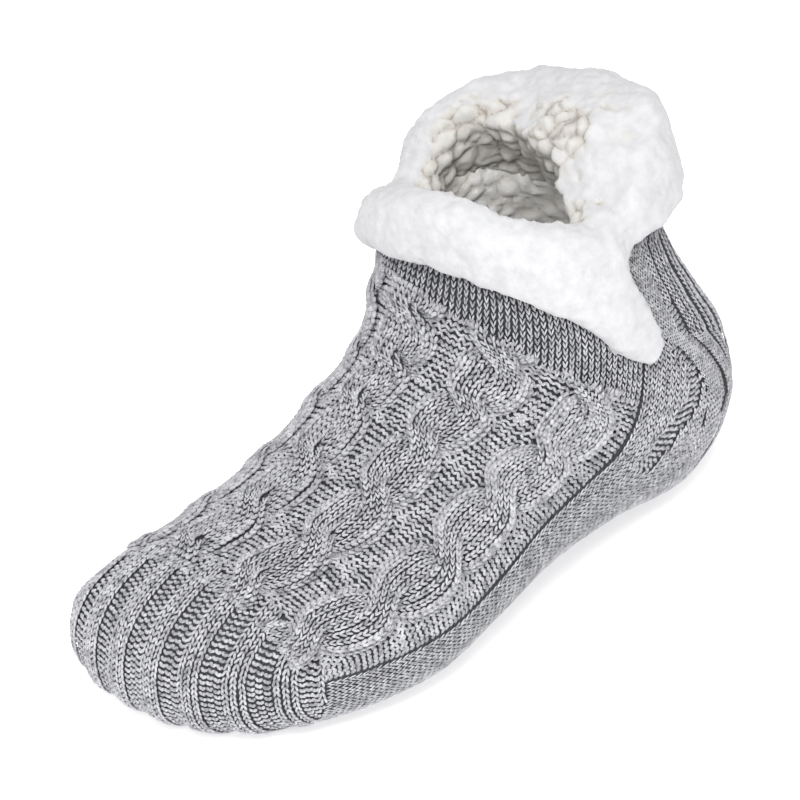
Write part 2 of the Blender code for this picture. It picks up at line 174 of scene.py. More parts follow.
def onSock(station, side):  # points and outward normals on the pressed outer face of the knit
    side = (np.asarray(side, float) + 2) % 4 - 2
    row = np.clip((station - netStations[0]) / net["stationStep"], 0, len(netStations) - 1.001)
    col = np.clip((side - netSides[0]) / net["sideStep"], 0, len(netSides) - 1.001)
    r, c = row.astype(int), col.astype(int)
    fr, fc = (row - r)[..., None], (col - c)[..., None]

    def blend(grid):
        low = grid[r, c] * (1 - fc) + grid[r, c + 1] * fc
        high = grid[r + 1, c] * (1 - fc) + grid[r + 1, c + 1] * fc
        return low * (1 - fr) + high * fr

    normal = blend(netNormals)
    return blend(netPoints), normal / np.linalg.norm(normal, axis=-1, keepdims=True)


def softStep(value, low, high):
    t = np.clip((value - low) / (high - low), 0, 1)
    return t * t * (3 - 2 * t)


def unit(vectors):
    return vectors / np.maximum(np.linalg.norm(vectors, axis=-1, keepdims=True), 1e-12)


knit = {
    "wale": 1.85 * mm,            # one column of stitches
    "course": 2.3 * mm,           # one row of stitches
    "panelStation": (0, 4, 6, 7.3, 8.8, 16),
    "panelShift": (0.02, 0.02, 0.01, -0.06, -0.14, -0.14),   # side coordinate of the panel's middle
    "panelPitch": (0.48, 0.48, 0.46, 0.44, 0.40, 0.40),      # between two cables, in side coordinates
    "cables": (-1.5, -0.5, 0.5, 1.5),                        # cable centres, in pitches
    "cableRelief": (1.0, 1.0, 1.0, 0.4),                     # the far one is drawn nearly flat
    "crossings": (3.45, 4.40, 5.40, 6.65, 8.00, 9.60),       # stations where a cable's two ropes cross
    "cableStart": 3.05,           # station where the ropes rise out of the toe ribs
    "cableHalf": 0.335,           # half width of a cable between crossings, in pitches
    "crossNarrow": 0.02,          # how much narrower it is at a crossing
    "crossQuick": 0.19,           # how short a crossing is, as a share of a cable's turn
    "crossReach": 0.22,           # how far from a crossing its ropes rise and dip, in turns
    "meanPitch": 0.44,            # a typical panelPitch, for the width of a rope's wales
    "ropeWales": 4,
    "ropeHeight": 2.4 * mm,       # cable above the plain knit
    "ropeLift": 2.7 * mm,         # the rope that passes over, at a crossing
    "ropeDip": -3.2 * mm,         # and the rope that passes under
    "ropeCord": 0.5 * mm,         # how far the upper rope's edge wales stand up
    "ropeBold": 1.08,             # thickness of a rope's legs against plain knit
    "edgeBold": 0.42,             # and how much is added to that at a cable's edges
    "edgeCord": 0.75 * mm,        # a cable's outermost wale stands up like a cord
    "gutterSink": 1.25 * mm,      # purl ground below the plain knit
    "gutterThick": 0.64,          # thickness of a gutter's strands, in purl courses
    "gutterWales": 6,
    "seamWales": 5,
    "purlCourse": 2.05 * mm,
    "purlZigzag": 0.62 * mm,
    "farStep": 0.023,             # wale width beyond the far cable, in side coordinates
    "ribHeight": 0.75 * mm,
    "ribsEnd": 3.43,              # station where the toe ribs meet the cables
    "ribWales": 3,                # knit wales in a toe rib
    "ribPurl": 3,                 # purl wales between two toe ribs
    "ribShare": 0.52,             # of the toe's pitch taken by the knit wales
    "soleWale": 2.1 * mm,
    "soleCourse": 2.4 * mm,
    "heelFrom": 8.6,              # station where the sole's knit is called the heel
    "collarSide": (-1, -0.6, -0.2, 0.1, 0.5, 1),             # the collar's fine rib starts at these
    "collarFrom": (9.95, 9.85, 10.15, 10.5, 10.7, 10.7),     # sides and stations
    "collarWale": 2.6 * mm,
    "seamGap": 0.006,             # half the bare crease of a side seam, in side coordinates
    "legThick": 0.44,             # thickness of a yarn leg, in wales
    "legLong": 1.34,              # and its length, in courses
    # The cuff's lower edge, where the stitches go out of sight.
    "cuffSide": (-2, -1.42, -1.17, -1.10, -1.05, -1, -0.9, -0.76, -0.6, -0.42, -0.2,
                 0, 0.25, 0.5, 0.75, 1, 1.05, 1.10, 1.17, 1.42, 2),
    "cuffFrom": (15, 15.3, 14.95, 13.9, 11.6, 11, 11, 11.5, 12.1, 12.5, 12.5,
                 12.2, 11.6, 11.2, 11, 11, 11.6, 13.7, 14.5, 14.8, 15),
}

# Behind the cuff's tail the wales are drawn aside; the path of the first raised band shows how far.
drawn = {
    "station": (9.4, 9.9, 10.6, 11.1, 11.6, 12.0, 12.8, 13.6, 14.6, 15.2),
    "side": (1.45, 1.43, 1.41, 1.34, 1.25, 1.15, 1.14, 1.14, 1.145, 1.24),
    "firstBand": (1.405, 1.495),  # side coordinates of the bands low on the heel
    "ladder": (1.495, 1.56),
    "secondBand": (1.56, 1.645),
    "stripeStation": (8.8, 9.7, 10.4, 11.0, 11.6),           # a purl stripe ahead of the first band
    "stripeSide": (1.17, 1.22, 1.30, 1.27, 1.19),
    "stripeHalf": 0.042,
    "bandWale": 0.0175,
}

legs = {}                         # piece name: lists of places, directions, normals and sizes


def panelAt(station):
    shift = np.interp(station, knit["panelStation"], knit["panelShift"])
    pitch = np.interp(station, knit["panelStation"], knit["panelPitch"])
    return shift, pitch


def turnAt(station):  # counts a cable's crossings, 0 at the first one
    crossings = knit["crossings"]
    turn = np.interp(station, crossings, np.arange(len(crossings)))
    before = np.minimum(station - crossings[0], 0) / (crossings[1] - crossings[0])
    return turn + before + np.maximum(station - crossings[-1], 0) / (crossings[-1] - crossings[-2])


def cableHalfAt(turn):
    off = turn - np.round(turn)
    return knit["cableHalf"] - knit["crossNarrow"] * np.exp(-(off / 0.15) ** 2)


def outlineAt(turn):  # half width of what a cable covers, in pitches
    off = turn - np.round(turn)
    return cableHalfAt(turn) * 0.5 * (1 + np.abs(np.tanh(off / knit["crossQuick"])))


def pillow(share):  # height of a cable across its width, lowest in the middle groove
    share = np.clip(np.abs(share), 0, 1)
    return (0.86 + 0.14 * share**2) * np.sqrt(1 - share**7)


def addLegs(piece, place, direction, normal, length, width, height):
    direction = unit(direction - normal * (direction * normal).sum(-1, keepdims=True))
    count = len(place)
    size = np.stack([np.broadcast_to(v, (count,)) for v in (width, height, length)], axis=-1)
    legs.setdefault(piece, []).append((place, direction, normal, size))


def turned(direction, normal, angle):  # direction turned about the normal
    across = np.cross(normal, direction)
    angle = np.broadcast_to(angle, direction.shape[:1])[:, None]
    return direction * np.cos(angle) + across * np.sin(angle)


# A knit stitch is a V of two legs.
def addKnit(piece, place, along, normal, width, course, tilt=0.26, thicker=1.0):
    across = np.cross(normal, along)
    width = np.broadcast_to(width, (len(place),))
    thick = np.clip(width * knit["legThick"], 0.7 * mm, 1.2 * mm) * thicker
    for way in (-1, 1):
        at = place + across * (way * 0.25 * width)[:, None]
        addLegs(piece, at, turned(along, normal, way * tilt), normal, course * knit["legLong"], thick, thick)


# A purl stitch is a bump, and a row of them zigzags.
def addPurl(piece, place, along, normal, width, course, tilt=0.5):
    across = np.cross(normal, along)
    width = np.broadcast_to(width, (len(place),))
    for way in (-1, 1):
        at = place + across * (way * 0.25 * width)[:, None] + normal * (way * 0.12 * mm)
        direction = turned(across, normal, way * tilt)
        addLegs(piece, at, direction, normal, width * 0.5 + 0.9 * mm, 0.7 * course, 0.5 * course)


def addStrands(piece, nodes, normals, thick):  # legs between the nodes of each row
    step = nodes[:, 1:] - nodes[:, :-1]
    place = (nodes[:, 1:] + nodes[:, :-1]) / 2
    normal = unit(normals[:, 1:] + normals[:, :-1])
    length = np.linalg.norm(step, axis=-1) + 0.75 * mm
    flat = [values.reshape(-1, 3) for values in (place, unit(step), normal)]
    addLegs(piece, *flat, length.ravel(), thick, 0.85 * thick)


# Stations, places, directions and normals of a wale's stitches, evenly spaced along it.
def walkWale(station, side, height, course, phase=0.0):
    points, normals = onSock(station, side)
    points = points + normals * np.broadcast_to(height, station.shape)[:, None]
    length = np.concatenate([[0], np.cumsum(np.linalg.norm(np.diff(points, axis=0), axis=1))])
    count = int(length[-1] / course)
    if count < 1:
        return None
    at = (np.arange(count) + 0.5 + phase) * length[-1] / count
    at = at[at < length[-1]]

    def pick(values):
        values = values.reshape(len(length), -1)
        return np.stack([np.interp(at, length, column) for column in values.T], axis=-1)

    place = pick(points)
    reach = 0.5 * course
    ahead = np.stack([np.interp(at + reach, length, column) for column in points.T], axis=-1)
    behind = np.stack([np.interp(at - reach, length, column) for column in points.T], axis=-1)
    normal = unit(pick(normals))
    along = ahead - behind
    along = unit(along - normal * (along * normal).sum(-1, keepdims=True))
    return pick(station)[:, 0], place, along, normal


def localWidth(station, side, step):  # metres between two wales, step apart in side coordinates
    ahead, _ = onSock(station, side + step / 2)
    behind, _ = onSock(station, side - step / 2)
    return np.linalg.norm(ahead - behind, axis=-1)


def spacing(station, side, step, along):  # between neighbouring wales, square to their run
    ahead, _ = onSock(station, side + step / 2)
    behind, _ = onSock(station, side - step / 2)
    gap = ahead - behind
    return np.linalg.norm(gap - along * (gap * along).sum(-1, keepdims=True), axis=-1)


def cuffFromAt(side):  # station where the cuff hides the knit
    side = (np.asarray(side) + 2) % 4 - 2
    return np.interp(side, knit["cuffSide"], knit["cuffFrom"])


def makeCables():
    fine = np.arange(knit["cableStart"], max(knit["collarFrom"]) + 0.2, 0.01)
    shift, pitch = panelAt(fine)
    turn = turnAt(fine)
    crossing = np.round(turn)
    off = turn - crossing
    half = cableHalfAt(turn)
    outline = outlineAt(turn)
    wales = knit["ropeWales"]
    near = np.exp(-(off / knit["crossReach"]) ** 2) * (turn > -0.5)
    rise = softStep(turn, -0.42, -0.12) * (1 - 0.6 * softStep(turn, 5.15, 5.5))
    for cable, relief in zip(knit["cables"], knit["cableRelief"]):
        piece = "knit_cables_near" if cable < 0 else "knit_cables_far"
        for rope in (-1, 1):
            over = np.where(crossing % 2 == 0, 1.0, -1.0) * rope
            centre = over * np.tanh(off / knit["crossQuick"]) * half / 2
            for wale in range(-1, wales + 1):   # the first and last go down the rope's sides
                inRope = (wale - (wales - 1) / 2) / wales
                inRope = math.copysign(min(abs(inRope), 0.53), inRope)
                isSide, isEdge = abs(inRope) >= 0.5, 0.27 < abs(inRope) < 0.5
                across = centre + inRope * half
                edge = softStep(np.abs(across) / outline, 0.72, 0.86)
                pad = knit["ropeHeight"] * pillow(across / outline) + knit["edgeCord"] * edge
                ropeTop = knit["ropeHeight"] + knit["ropeLift"] + knit["ropeCord"] * (isEdge or isSide)
                height = pad + near * np.where(over > 0, ropeTop - pad, knit["ropeDip"])
                if isSide:
                    innerSide = centre * inRope < 0
                    height = np.where(innerSide & (near < 0.6), -1.5 * mm, height * (0.35 + 0.2 * near))
                side = shift + (cable + across) * pitch
                start = np.interp(side, knit["collarSide"], knit["collarFrom"]) + 0.15
                station, place, along, normal = walkWale(fine, side, height * rise * relief, knit["course"])
                keep = station < np.interp(station, fine, start)
                if isSide:
                    keep &= np.interp(station, fine, height) > -1.2 * mm
                step = knit["cableHalf"] / wales * knit["meanPitch"]
                width = spacing(station, np.interp(station, fine, side), step, along)
                raised = np.maximum(edge, near * (over > 0) * isEdge)
                bold = knit["ropeBold"] + knit["edgeBold"] * np.interp(station, fine, raised)
                addKnit(piece, place[keep], along[keep], normal[keep], width[keep], knit["course"],
                        0.32, bold[keep])


def gutterEdges(station):  # side coordinates of the purl gutters' two edges, from the near seam on
    shift, pitch = panelAt(station)
    outline = outlineAt(turnAt(station))
    cables = knit["cables"]
    nearSeam = np.full(station.shape, -1 + knit["seamGap"])
    pastLast = shift + (cables[-1] + 1 - outline) * pitch
    low = [nearSeam] + [shift + (cable + outline) * pitch for cable in cables]
    high = [shift + (cable - outline) * pitch for cable in cables] + [pastLast]
    return list(zip(low, high))


def makeGutters():
    fine = np.arange(knit["ribsEnd"] - 0.02, max(knit["collarFrom"]), 0.01)
    for number, (low, high) in enumerate(gutterEdges(fine)):
        piece = "knit_gutters_near" if number < 3 else "knit_gutters_far"
        count = 2 * (knit["gutterWales"] if number else knit["seamWales"])
        station, _, _, _ = walkWale(fine, (low + high) / 2, 0.0, knit["purlCourse"])
        share = np.arange(-1, count + 2) / count   # half a wale further, under the cables' sides
        turn = np.repeat(turnAt(station)[:, None], count + 3, 1)
        off = turn - np.round(turn)
        # The rows gather at the far cable's notch.
        turn = turn - 0.6 * np.clip(share, 0, 1) ** 1.5 * off * np.exp(-(off / 0.24) ** 2)
        rows = np.interp(turn, turnAt(fine), fine)
        lowAt, highAt = np.interp(rows, fine, low), np.interp(rows, fine, high)
        side = lowAt + (highAt - lowAt) * share
        place, normal = onSock(rows, side)
        ahead, _ = onSock(rows + 0.02, side)
        along = unit(ahead - place)
        zigzag = np.where(np.arange(count + 3) % 2, 1.0, -1.0)[None, :, None]
        uneven = np.random.default_rng(20 + number).normal(0, 1, place.shape[:2] + (2,))
        zigzag = zigzag * (1 + 0.25 * uneven[..., :1])
        swing = zigzag * (along * knit["purlZigzag"] + normal * 0.32 * mm)
        place = place - normal * knit["gutterSink"] + swing + along * uneven[..., 1:] * 0.12 * mm
        keep = station < np.interp(side[:, count // 2 + 1], knit["collarSide"], knit["collarFrom"]) + 0.05
        addStrands(piece, place[keep], normal[keep], knit["gutterThick"] * knit["purlCourse"])


def makeFarWales():  # plain knit between the last gutter and the far side seam
    fine = np.arange(knit["ribsEnd"] - 0.02, max(knit["collarFrom"]), 0.01)
    farEdge = gutterEdges(fine)[-1][1]
    step = knit["farStep"]
    for number in range(40):
        side = 1 - knit["seamGap"] - (number + 0.5) * step
        inside = (side > farEdge) & (fine < cuffFromAt(side) + 0.4)
        if inside.sum() < 10:
            continue
        path = fine[inside]
        station, place, along, normal = walkWale(path, np.full(path.shape, side), 0.0, knit["soleCourse"])
        width = localWidth(station, np.full(station.shape, side), step)
        addKnit("knit_collar", place, along, normal, width, knit["soleCourse"])


def toeSlice(level):  # stations and side coordinates where the plane y = level cuts the toe
    rows = np.flatnonzero(netStations <= knit["ribsEnd"])
    top = np.abs(netSides) <= 1.0001
    topSides = netSides[top]
    under = np.concatenate([np.flatnonzero(netSides >= 0.9999), np.flatnonzero(netSides <= -0.9999)])
    underSides = np.where(netSides[under] < 0, netSides[under] + 4, netSides[under])
    order = np.argsort(underSides)
    under, underSides = under[order], underSides[order]
    topPath, underPath = [], []
    for row in rows:
        y = netPoints[row, :, 1]
        if not y[top].min() < level < y[top].max():
            continue
        topPath.append((netStations[row], np.interp(level, y[top], topSides)))
        underPath.append((netStations[row], np.interp(-level, -y[under], underSides)))
    return topPath[::-1] + underPath


def makeToeRibs():  # knit ribs and purl ditches, each wale in a plane along the foot
    shift, pitch = panelAt(np.array(knit["ribsEnd"]))
    ribPitch = pitch / 2
    knitStep = ribPitch * knit["ribShare"] / knit["ribWales"]
    purlStep = ribPitch * (1 - knit["ribShare"]) / knit["ribPurl"]
    wales = []
    for rib in range(-5, 6):
        middle = shift + rib * ribPitch
        for wale in range(knit["ribWales"]):
            wales.append((middle + (wale - (knit["ribWales"] - 1) / 2) * knitStep, knitStep, True))
        for wale in range(knit["ribPurl"]):
            start = middle + ribPitch * knit["ribShare"] / 2
            wales.append((start + (wale + 0.5) * purlStep, purlStep, False))
    for number, (side, step, isKnit) in enumerate(wales):
        if abs(side) > 0.985:
            continue
        start, _ = onSock(np.array([knit["ribsEnd"]]), np.array([side]))
        path = np.array(toeSlice(start[0, 1]))
        if len(path) < 4:
            continue
        fromMiddle = ((side - shift) / ribPitch + 0.5) % 1 - 0.5
        height = knit["ribHeight"] * (1 - 2.2 * fromMiddle**2 / 0.05) if isKnit else -0.35 * mm
        walk = walkWale(path[:, 0], path[:, 1], max(height, 0.5 * mm) if isKnit else height, knit["course"])
        if walk is None:
            continue
        _, place, along, normal = walk
        width = np.full(len(place), localWidth(np.array([knit["ribsEnd"]]), np.array([side]), step)[0])
        if isKnit:
            addKnit("knit_toe", place, along, normal, width, knit["course"], 0.3)
        else:
            place = place + along * (0.5 * knit["purlCourse"] * (number % 2))
            addPurl("knit_toe", place, along, normal, width, knit["purlCourse"], 0.75)


def makeToeRings():  # rings round the toe's outer bulge, past the last wale of each side
    rows = netPoints[netStations <= knit["ribsEnd"]]
    for way in (-1, 1):
        row, col = np.unravel_index(np.argmax(way * rows[..., 1]), rows.shape[:2])
        rim = rows[row, col - way * np.arange(80)]
        arc = np.concatenate([[0], np.cumsum(np.linalg.norm(np.diff(rim, axis=0), axis=1))])
        last, _ = onSock(np.array([knit["ribsEnd"]]), np.array([way * 0.985]))
        for number in range(24):
            level = np.interp((number + 0.25) * 0.8 * knit["wale"], arc, rim[:, 1])
            path = np.array(toeSlice(level))
            if way * (level - last[0, 1]) < 0 or len(path) < 4:
                continue
            if path[0, 0] < knit["ribsEnd"] - 0.03:   # a whole ring, so it is closed
                path = np.vstack([path, path[:1]])
                path[-1, 1] = path[0, 1] if abs(path[-2, 1] - path[0, 1]) < 2 else path[0, 1] + 4
            walk = walkWale(path[:, 0], path[:, 1], 0.2 * mm, knit["course"])
            if walk is not None:
                addKnit("knit_toe", *walk[1:], knit["wale"], knit["course"], 0.3)


def addSoleWale(side, path, step, height, purl):
    walk = walkWale(path, side, height, knit["soleCourse"])
    if walk is None:
        return
    station, place, along, normal = walk
    width = spacing(station, np.interp(station, path, side), step, along)
    isPurl = np.interp(station, path, purl.astype(float)) > 0.5
    onHeel = station >= knit["heelFrom"]
    for name, here in (("knit_sole", ~onHeel), ("knit_heel", onHeel)):
        plain, bumps = here & ~isPurl, here & isPurl
        addKnit(name, place[plain], along[plain], normal[plain], width[plain], knit["soleCourse"], 0.36, 0.83)
        addPurl(name, place[bumps], along[bumps], normal[bumps], width[bumps], knit["soleCourse"])


def makeSole():
    halfGirth = localWidth(np.array([8.0]), np.array([-1.5]), 0.02)[0] / 0.02
    step = knit["soleWale"] / halfGirth
    fine = np.arange(knit["ribsEnd"] + 0.02, lastStation - 0.5, 0.01)
    band = np.interp(fine, drawn["station"], drawn["side"])
    stripe = np.interp(fine, drawn["stripeStation"], drawn["stripeSide"])
    striped = (fine > drawn["stripeStation"][0]) & (fine < drawn["stripeStation"][-1])
    shiftAside = drawn["side"][0] - band
    firstLow = drawn["firstBand"][0]
    for way in (-1, 1):
        ahead = np.arange(1 + knit["seamGap"] + 0.5 * step, firstLow, step)
        for number, side in enumerate(ahead):   # from the seam to the first band
            inside = (side < firstLow - shiftAside + 0.3 * step) & (fine < cuffFromAt(way * side) + 0.5)
            path = fine[inside]
            purl = (np.abs(side - stripe) < drawn["stripeHalf"]) & striped
            height = np.where(purl, -0.8 * mm, 0.6 * mm * (number == 0))
            addSoleWale(np.full(path.shape, way * side), path, step, height[inside], purl[inside])
        side = firstLow
        while side < 2 - 0.2 * step:   # the first band, and all that follows its sway
            inFirst = drawn["firstBand"][0] <= side < drawn["firstBand"][1]
            inSecond = drawn["secondBand"][0] <= side < drawn["secondBand"][1]
            inLadder = drawn["ladder"][0] <= side < drawn["ladder"][1]
            wide = drawn["bandWale"] if inFirst or inSecond else step
            middle = side + wide / 2
            sway = shiftAside * np.clip((2 - middle) / 0.4, 0, 1)
            moved = middle - sway
            inside = fine < cuffFromAt(way * moved) + 0.5
            path = fine[inside]
            raised = softStep(path, 8.8, 9.8)
            high = (0.8 * mm if inFirst or inSecond else 0.0) * raised
            high = high - 0.55 * mm * raised * (middle > 1.66) * ((middle - 1.645) / wide % 3 < 1)
            purl = inLadder & (path > 10.2) & (path < 12.9)
            addSoleWale(way * moved[inside], path, wide, np.where(purl, -0.8 * mm, high), purl)
            side += wide


def makeCollarRib():
    girth = localWidth(np.array([10.5]), np.array([0.0]), 0.02)[0] / 0.02
    wales = int(2 * girth / knit["collarWale"])
    for number in range(wales):
        side = -1 + knit["seamGap"] + (number + 0.5) / wales * 2 * (1 - knit["seamGap"])
        start = np.interp(side, knit["collarSide"], knit["collarFrom"])
        path = np.arange(start - 0.12, cuffFromAt(side) + 0.6, 0.01)
        walk = walkWale(path, np.full(path.shape, side), 0.6 * mm, knit["course"])
        if walk is None:
            continue
        station, place, along, normal = walk
        width = localWidth(station, np.full(station.shape, side), 2 / wales) * 0.62
        addKnit("knit_collar", place, along, normal, width, knit["course"], 0.3, 1.05)


def linear(hexColour):  # an sRGB hex value as linear red, green, blue and alpha
    parts = [int(hexColour[k:k + 2], 16) / 255 for k in (1, 3, 5)]
    return [p / 12.92 if p <= 0.04045 else ((p + 0.055) / 1.055) ** 2.4 for p in parts] + [1.0]


def addNode(tree, kind, settings=None, inputs=None, links=None, stops=()):
    node = tree.nodes.new(kind)
    for name, value in (settings or {}).items():
        setattr(node, name, value)
    for name, value in (inputs or {}).items():
        node.inputs[name].default_value = value
    for name, socket in (links or {}).items():
        tree.links.new(socket, node.inputs[name])
    for number, (place, colour) in enumerate(stops):
        elements = node.color_ramp.elements
        element = elements[number] if number < len(elements) else elements.new(place)
        element.position = place
        element.color = linear(colour)
    return node


def newMaterial(name):
    material = bpy.data.materials.new(name)
    material.use_nodes = True
    tree = material.node_tree
    return material, tree, tree.nodes["Principled BSDF"]


# Heather wool-blend yarn, spun from light and dark grey fibres: matt, with a little fuzz.
def yarnMaterial():
    look = {"light": "#e6e6e9", "middle": "#bfbfc4", "dark": "#77787d", "fibre": 0.35 * mm,
            "heather": 3.2 * mm, "ply": 5.0}
    material, tree, shader = newMaterial("heather_wool_yarn")
    place = addNode(tree, "ShaderNodeTexCoord").outputs["Object"]
    fibres = addNode(tree, "ShaderNodeTexNoise", links={"Vector": place},
                     inputs={"Scale": 1 / look["fibre"], "Detail": 3.0, "Roughness": 0.7})
    shade = addNode(tree, "ShaderNodeTexNoise", links={"Vector": place},
                    inputs={"Scale": 1 / look["heather"], "Detail": 2.0})
    fibreShare = addNode(tree, "ShaderNodeMath", {"operation": "MULTIPLY"}, {1: 0.55},
                         {0: fibres.outputs["Fac"]})
    mixed = addNode(tree, "ShaderNodeMath", {"operation": "MULTIPLY_ADD"}, {1: 0.45},
                    {0: shade.outputs["Fac"], 2: fibreShare.outputs[0]})
    ramp = addNode(tree, "ShaderNodeValToRGB", links={"Fac": mixed.outputs[0]},
                   stops=((0.36, look["dark"]), (0.48, look["middle"]), (0.62, look["light"])))
    tree.links.new(ramp.outputs["Color"], shader.inputs["Base Color"])
    local = addNode(tree, "ShaderNodeAttribute", {"attribute_name": "yarn"}).outputs["Vector"]
    plies = addNode(tree, "ShaderNodeTexWave", {"bands_direction": "DIAGONAL"},
                    {"Scale": look["ply"], "Distortion": 1.5, "Detail": 1.0}, {"Vector": local})
    bump = addNode(tree, "ShaderNodeBump", inputs={"Strength": 0.5, "Distance": 0.15 * mm},
                   links={"Height": plies.outputs["Fac"]})
    fuzz = addNode(tree, "ShaderNodeBump", inputs={"Strength": 0.6, "Distance": 0.1 * mm},
                   links={"Height": fibres.outputs["Fac"], "Normal": bump.outputs["Normal"]})
    tree.links.new(fuzz.outputs["Normal"], shader.inputs["Normal"])
    shader.inputs["Roughness"].default_value = 0.92
    shader.inputs["Sheen Weight"].default_value = 0.15
    shader.inputs["Sheen Roughness"].default_value = 0.5
    return material


# Stands in for the yarn deep between the stitches: its dark grey is painted shade, mottled at random, with a
# bump.
def paintedShadeMaterial():
    look = {"light": "#545559", "dark": "#2e2f33", "tangle": 0.8 * mm}
    material, tree, shader = newMaterial("painted_shade_core")
    place = addNode(tree, "ShaderNodeTexCoord").outputs["Object"]
    mottle = addNode(tree, "ShaderNodeTexNoise", links={"Vector": place},
                     inputs={"Scale": 1 / look["tangle"], "Detail": 4.0})
    ramp = addNode(tree, "ShaderNodeValToRGB", links={"Fac": mottle.outputs["Fac"]},
                   stops=((0.35, look["dark"]), (0.65, look["light"])))
    tree.links.new(ramp.outputs["Color"], shader.inputs["Base Color"])
    bump = addNode(tree, "ShaderNodeBump", inputs={"Strength": 0.8, "Distance": 0.3 * mm},
                   links={"Height": mottle.outputs["Fac"]})
    tree.links.new(bump.outputs["Normal"], shader.inputs["Normal"])
    shader.inputs["Roughness"].default_value = 0.95
    return material


# White polyester plush, brushed: very matt and soft, and clumped where it turns inside. There it is warm
# off-white like the lining, darkened with painted shade, and darker still with painted shade on the curls'
# sides and in the creases between clumps.
def plushMaterial():
    look = {"light": "#d4d4d6", "dark": "#c6c6c9", "tuft": 4.5 * mm, "hair": 0.7 * mm,
            "curlTop": "#d2d0cc", "curlSideShade": "#c3bfb9", "curlCreaseShade": "#918a81"}
    material, tree, shader = newMaterial("white_plush_fleece")
    place = addNode(tree, "ShaderNodeTexCoord").outputs["Object"]
    creaseShade = addNode(tree, "ShaderNodeAttribute", {"attribute_name": "creaseShade"}).outputs["Fac"]
    tufts = addNode(tree, "ShaderNodeTexNoise", links={"Vector": place},
                    inputs={"Scale": 1 / look["tuft"], "Detail": 5.0, "Roughness": 0.62})
    hairs = addNode(tree, "ShaderNodeTexNoise", links={"Vector": place},
                    inputs={"Scale": 1 / look["hair"], "Detail": 3.0, "Roughness": 0.7})
    ramp = addNode(tree, "ShaderNodeValToRGB", links={"Fac": tufts.outputs["Fac"]},
                   stops=((0.3, look["dark"]), (0.62, look["light"])))
    # Painted shade: the inner face darker than the lining, the curls' sides darker and the creases between
    # clumps darkest.
    insideShade = addNode(tree, "ShaderNodeValToRGB", links={"Fac": creaseShade},
                   stops=((0.5, look["curlTop"]), (0.85, look["curlSideShade"]), (1.0, look["curlCreaseShade"])))
    inside = addNode(tree, "ShaderNodeAttribute", {"attribute_name": "inside"}).outputs["Fac"]
    mixed = addNode(tree, "ShaderNodeMix", {"data_type": "RGBA"},
                    links={0: inside, 6: ramp.outputs["Color"], 7: insideShade.outputs["Color"]})
    tree.links.new(mixed.outputs[2], shader.inputs["Base Color"])
    soft = addNode(tree, "ShaderNodeBump", inputs={"Strength": 0.4, "Distance": 0.9 * mm},
                   links={"Height": tufts.outputs["Fac"]})
    fine = addNode(tree, "ShaderNodeBump", inputs={"Strength": 0.5, "Distance": 0.25 * mm},
                   links={"Height": hairs.outputs["Fac"], "Normal": soft.outputs["Normal"]})
    tree.links.new(fine.outputs["Normal"], shader.inputs["Normal"])
    shader.inputs["Roughness"].default_value = 1.0
    shader.inputs["Sheen Weight"].default_value = 0.25
    shader.inputs["Sheen Roughness"].default_value = 0.6
    return material


# Off-white sherpa fleece, curled into clumps: matt and warm, with the curls' sides and the creases between
# them darkened grey as painted shade.
def sherpaMaterial():
    look = {"curlTop": "#fdfcfa", "curlSideShade": "#eeebe6", "curlCreaseShade": "#c4bdb4", "curl": 1.1 * mm}
    material, tree, shader = newMaterial("off_white_sherpa_fleece")
    creaseShade = addNode(tree, "ShaderNodeAttribute", {"attribute_name": "creaseShade"}).outputs["Fac"]
    place = addNode(tree, "ShaderNodeTexCoord").outputs["Object"]
    curls = addNode(tree, "ShaderNodeTexNoise", links={"Vector": place},
                    inputs={"Scale": 1 / look["curl"], "Detail": 4.0, "Roughness": 0.65})
    # Painted shade: darker on the curls' sides, grey in the creases between clumps.
    ramp = addNode(tree, "ShaderNodeValToRGB", links={"Fac": creaseShade},
                   stops=((0.55, look["curlTop"]), (0.9, look["curlSideShade"]), (1.0, look["curlCreaseShade"])))
    tree.links.new(ramp.outputs["Color"], shader.inputs["Base Color"])
    bump = addNode(tree, "ShaderNodeBump", inputs={"Strength": 0.7, "Distance": 0.5 * mm},
                   links={"Height": curls.outputs["Fac"]})
    tree.links.new(bump.outputs["Normal"], shader.inputs["Normal"])
    shader.inputs["Roughness"].default_value = 1.0
    shader.inputs["Sheen Weight"].default_value = 0.8
    return material


# White paper on a lit table, so that hardly any shade shows under the sock.
def floorMaterial():
    material, tree, shader = newMaterial("white_paper_backdrop")
    shader.inputs["Base Color"].default_value = linear("#f4f4f4")
    shader.inputs["Roughness"].default_value = 0.9
    shader.inputs["Emission Color"].default_value = linear("#ffffff")
    shader.inputs["Emission Strength"].default_value = 0.55
    return material


def newObject(name, mesh):
    piece = bpy.data.objects.new(name, mesh)
    bpy.context.scene.collection.objects.link(piece)
    return piece


def meshFromRings(name, rings):  # rings of points, joined and closed at both ends, as one mesh
    rings = np.array(rings)
    levels, count = rings.shape[:2]
    verts = rings.reshape(-1, 3)
    index = np.arange(levels * count).reshape(levels, count)
    after = np.roll(index, -1, axis=1)
    faces = np.stack([index[:-1], after[:-1], after[1:], index[1:]], axis=-1).reshape(-1, 4).tolist()
    faces.append(index[0, ::-1].tolist())
    faces.append(index[-1].tolist())
    mesh = bpy.data.meshes.new(name)
    mesh.from_pydata(verts.tolist(), [], faces)
    mesh.update()
    return mesh


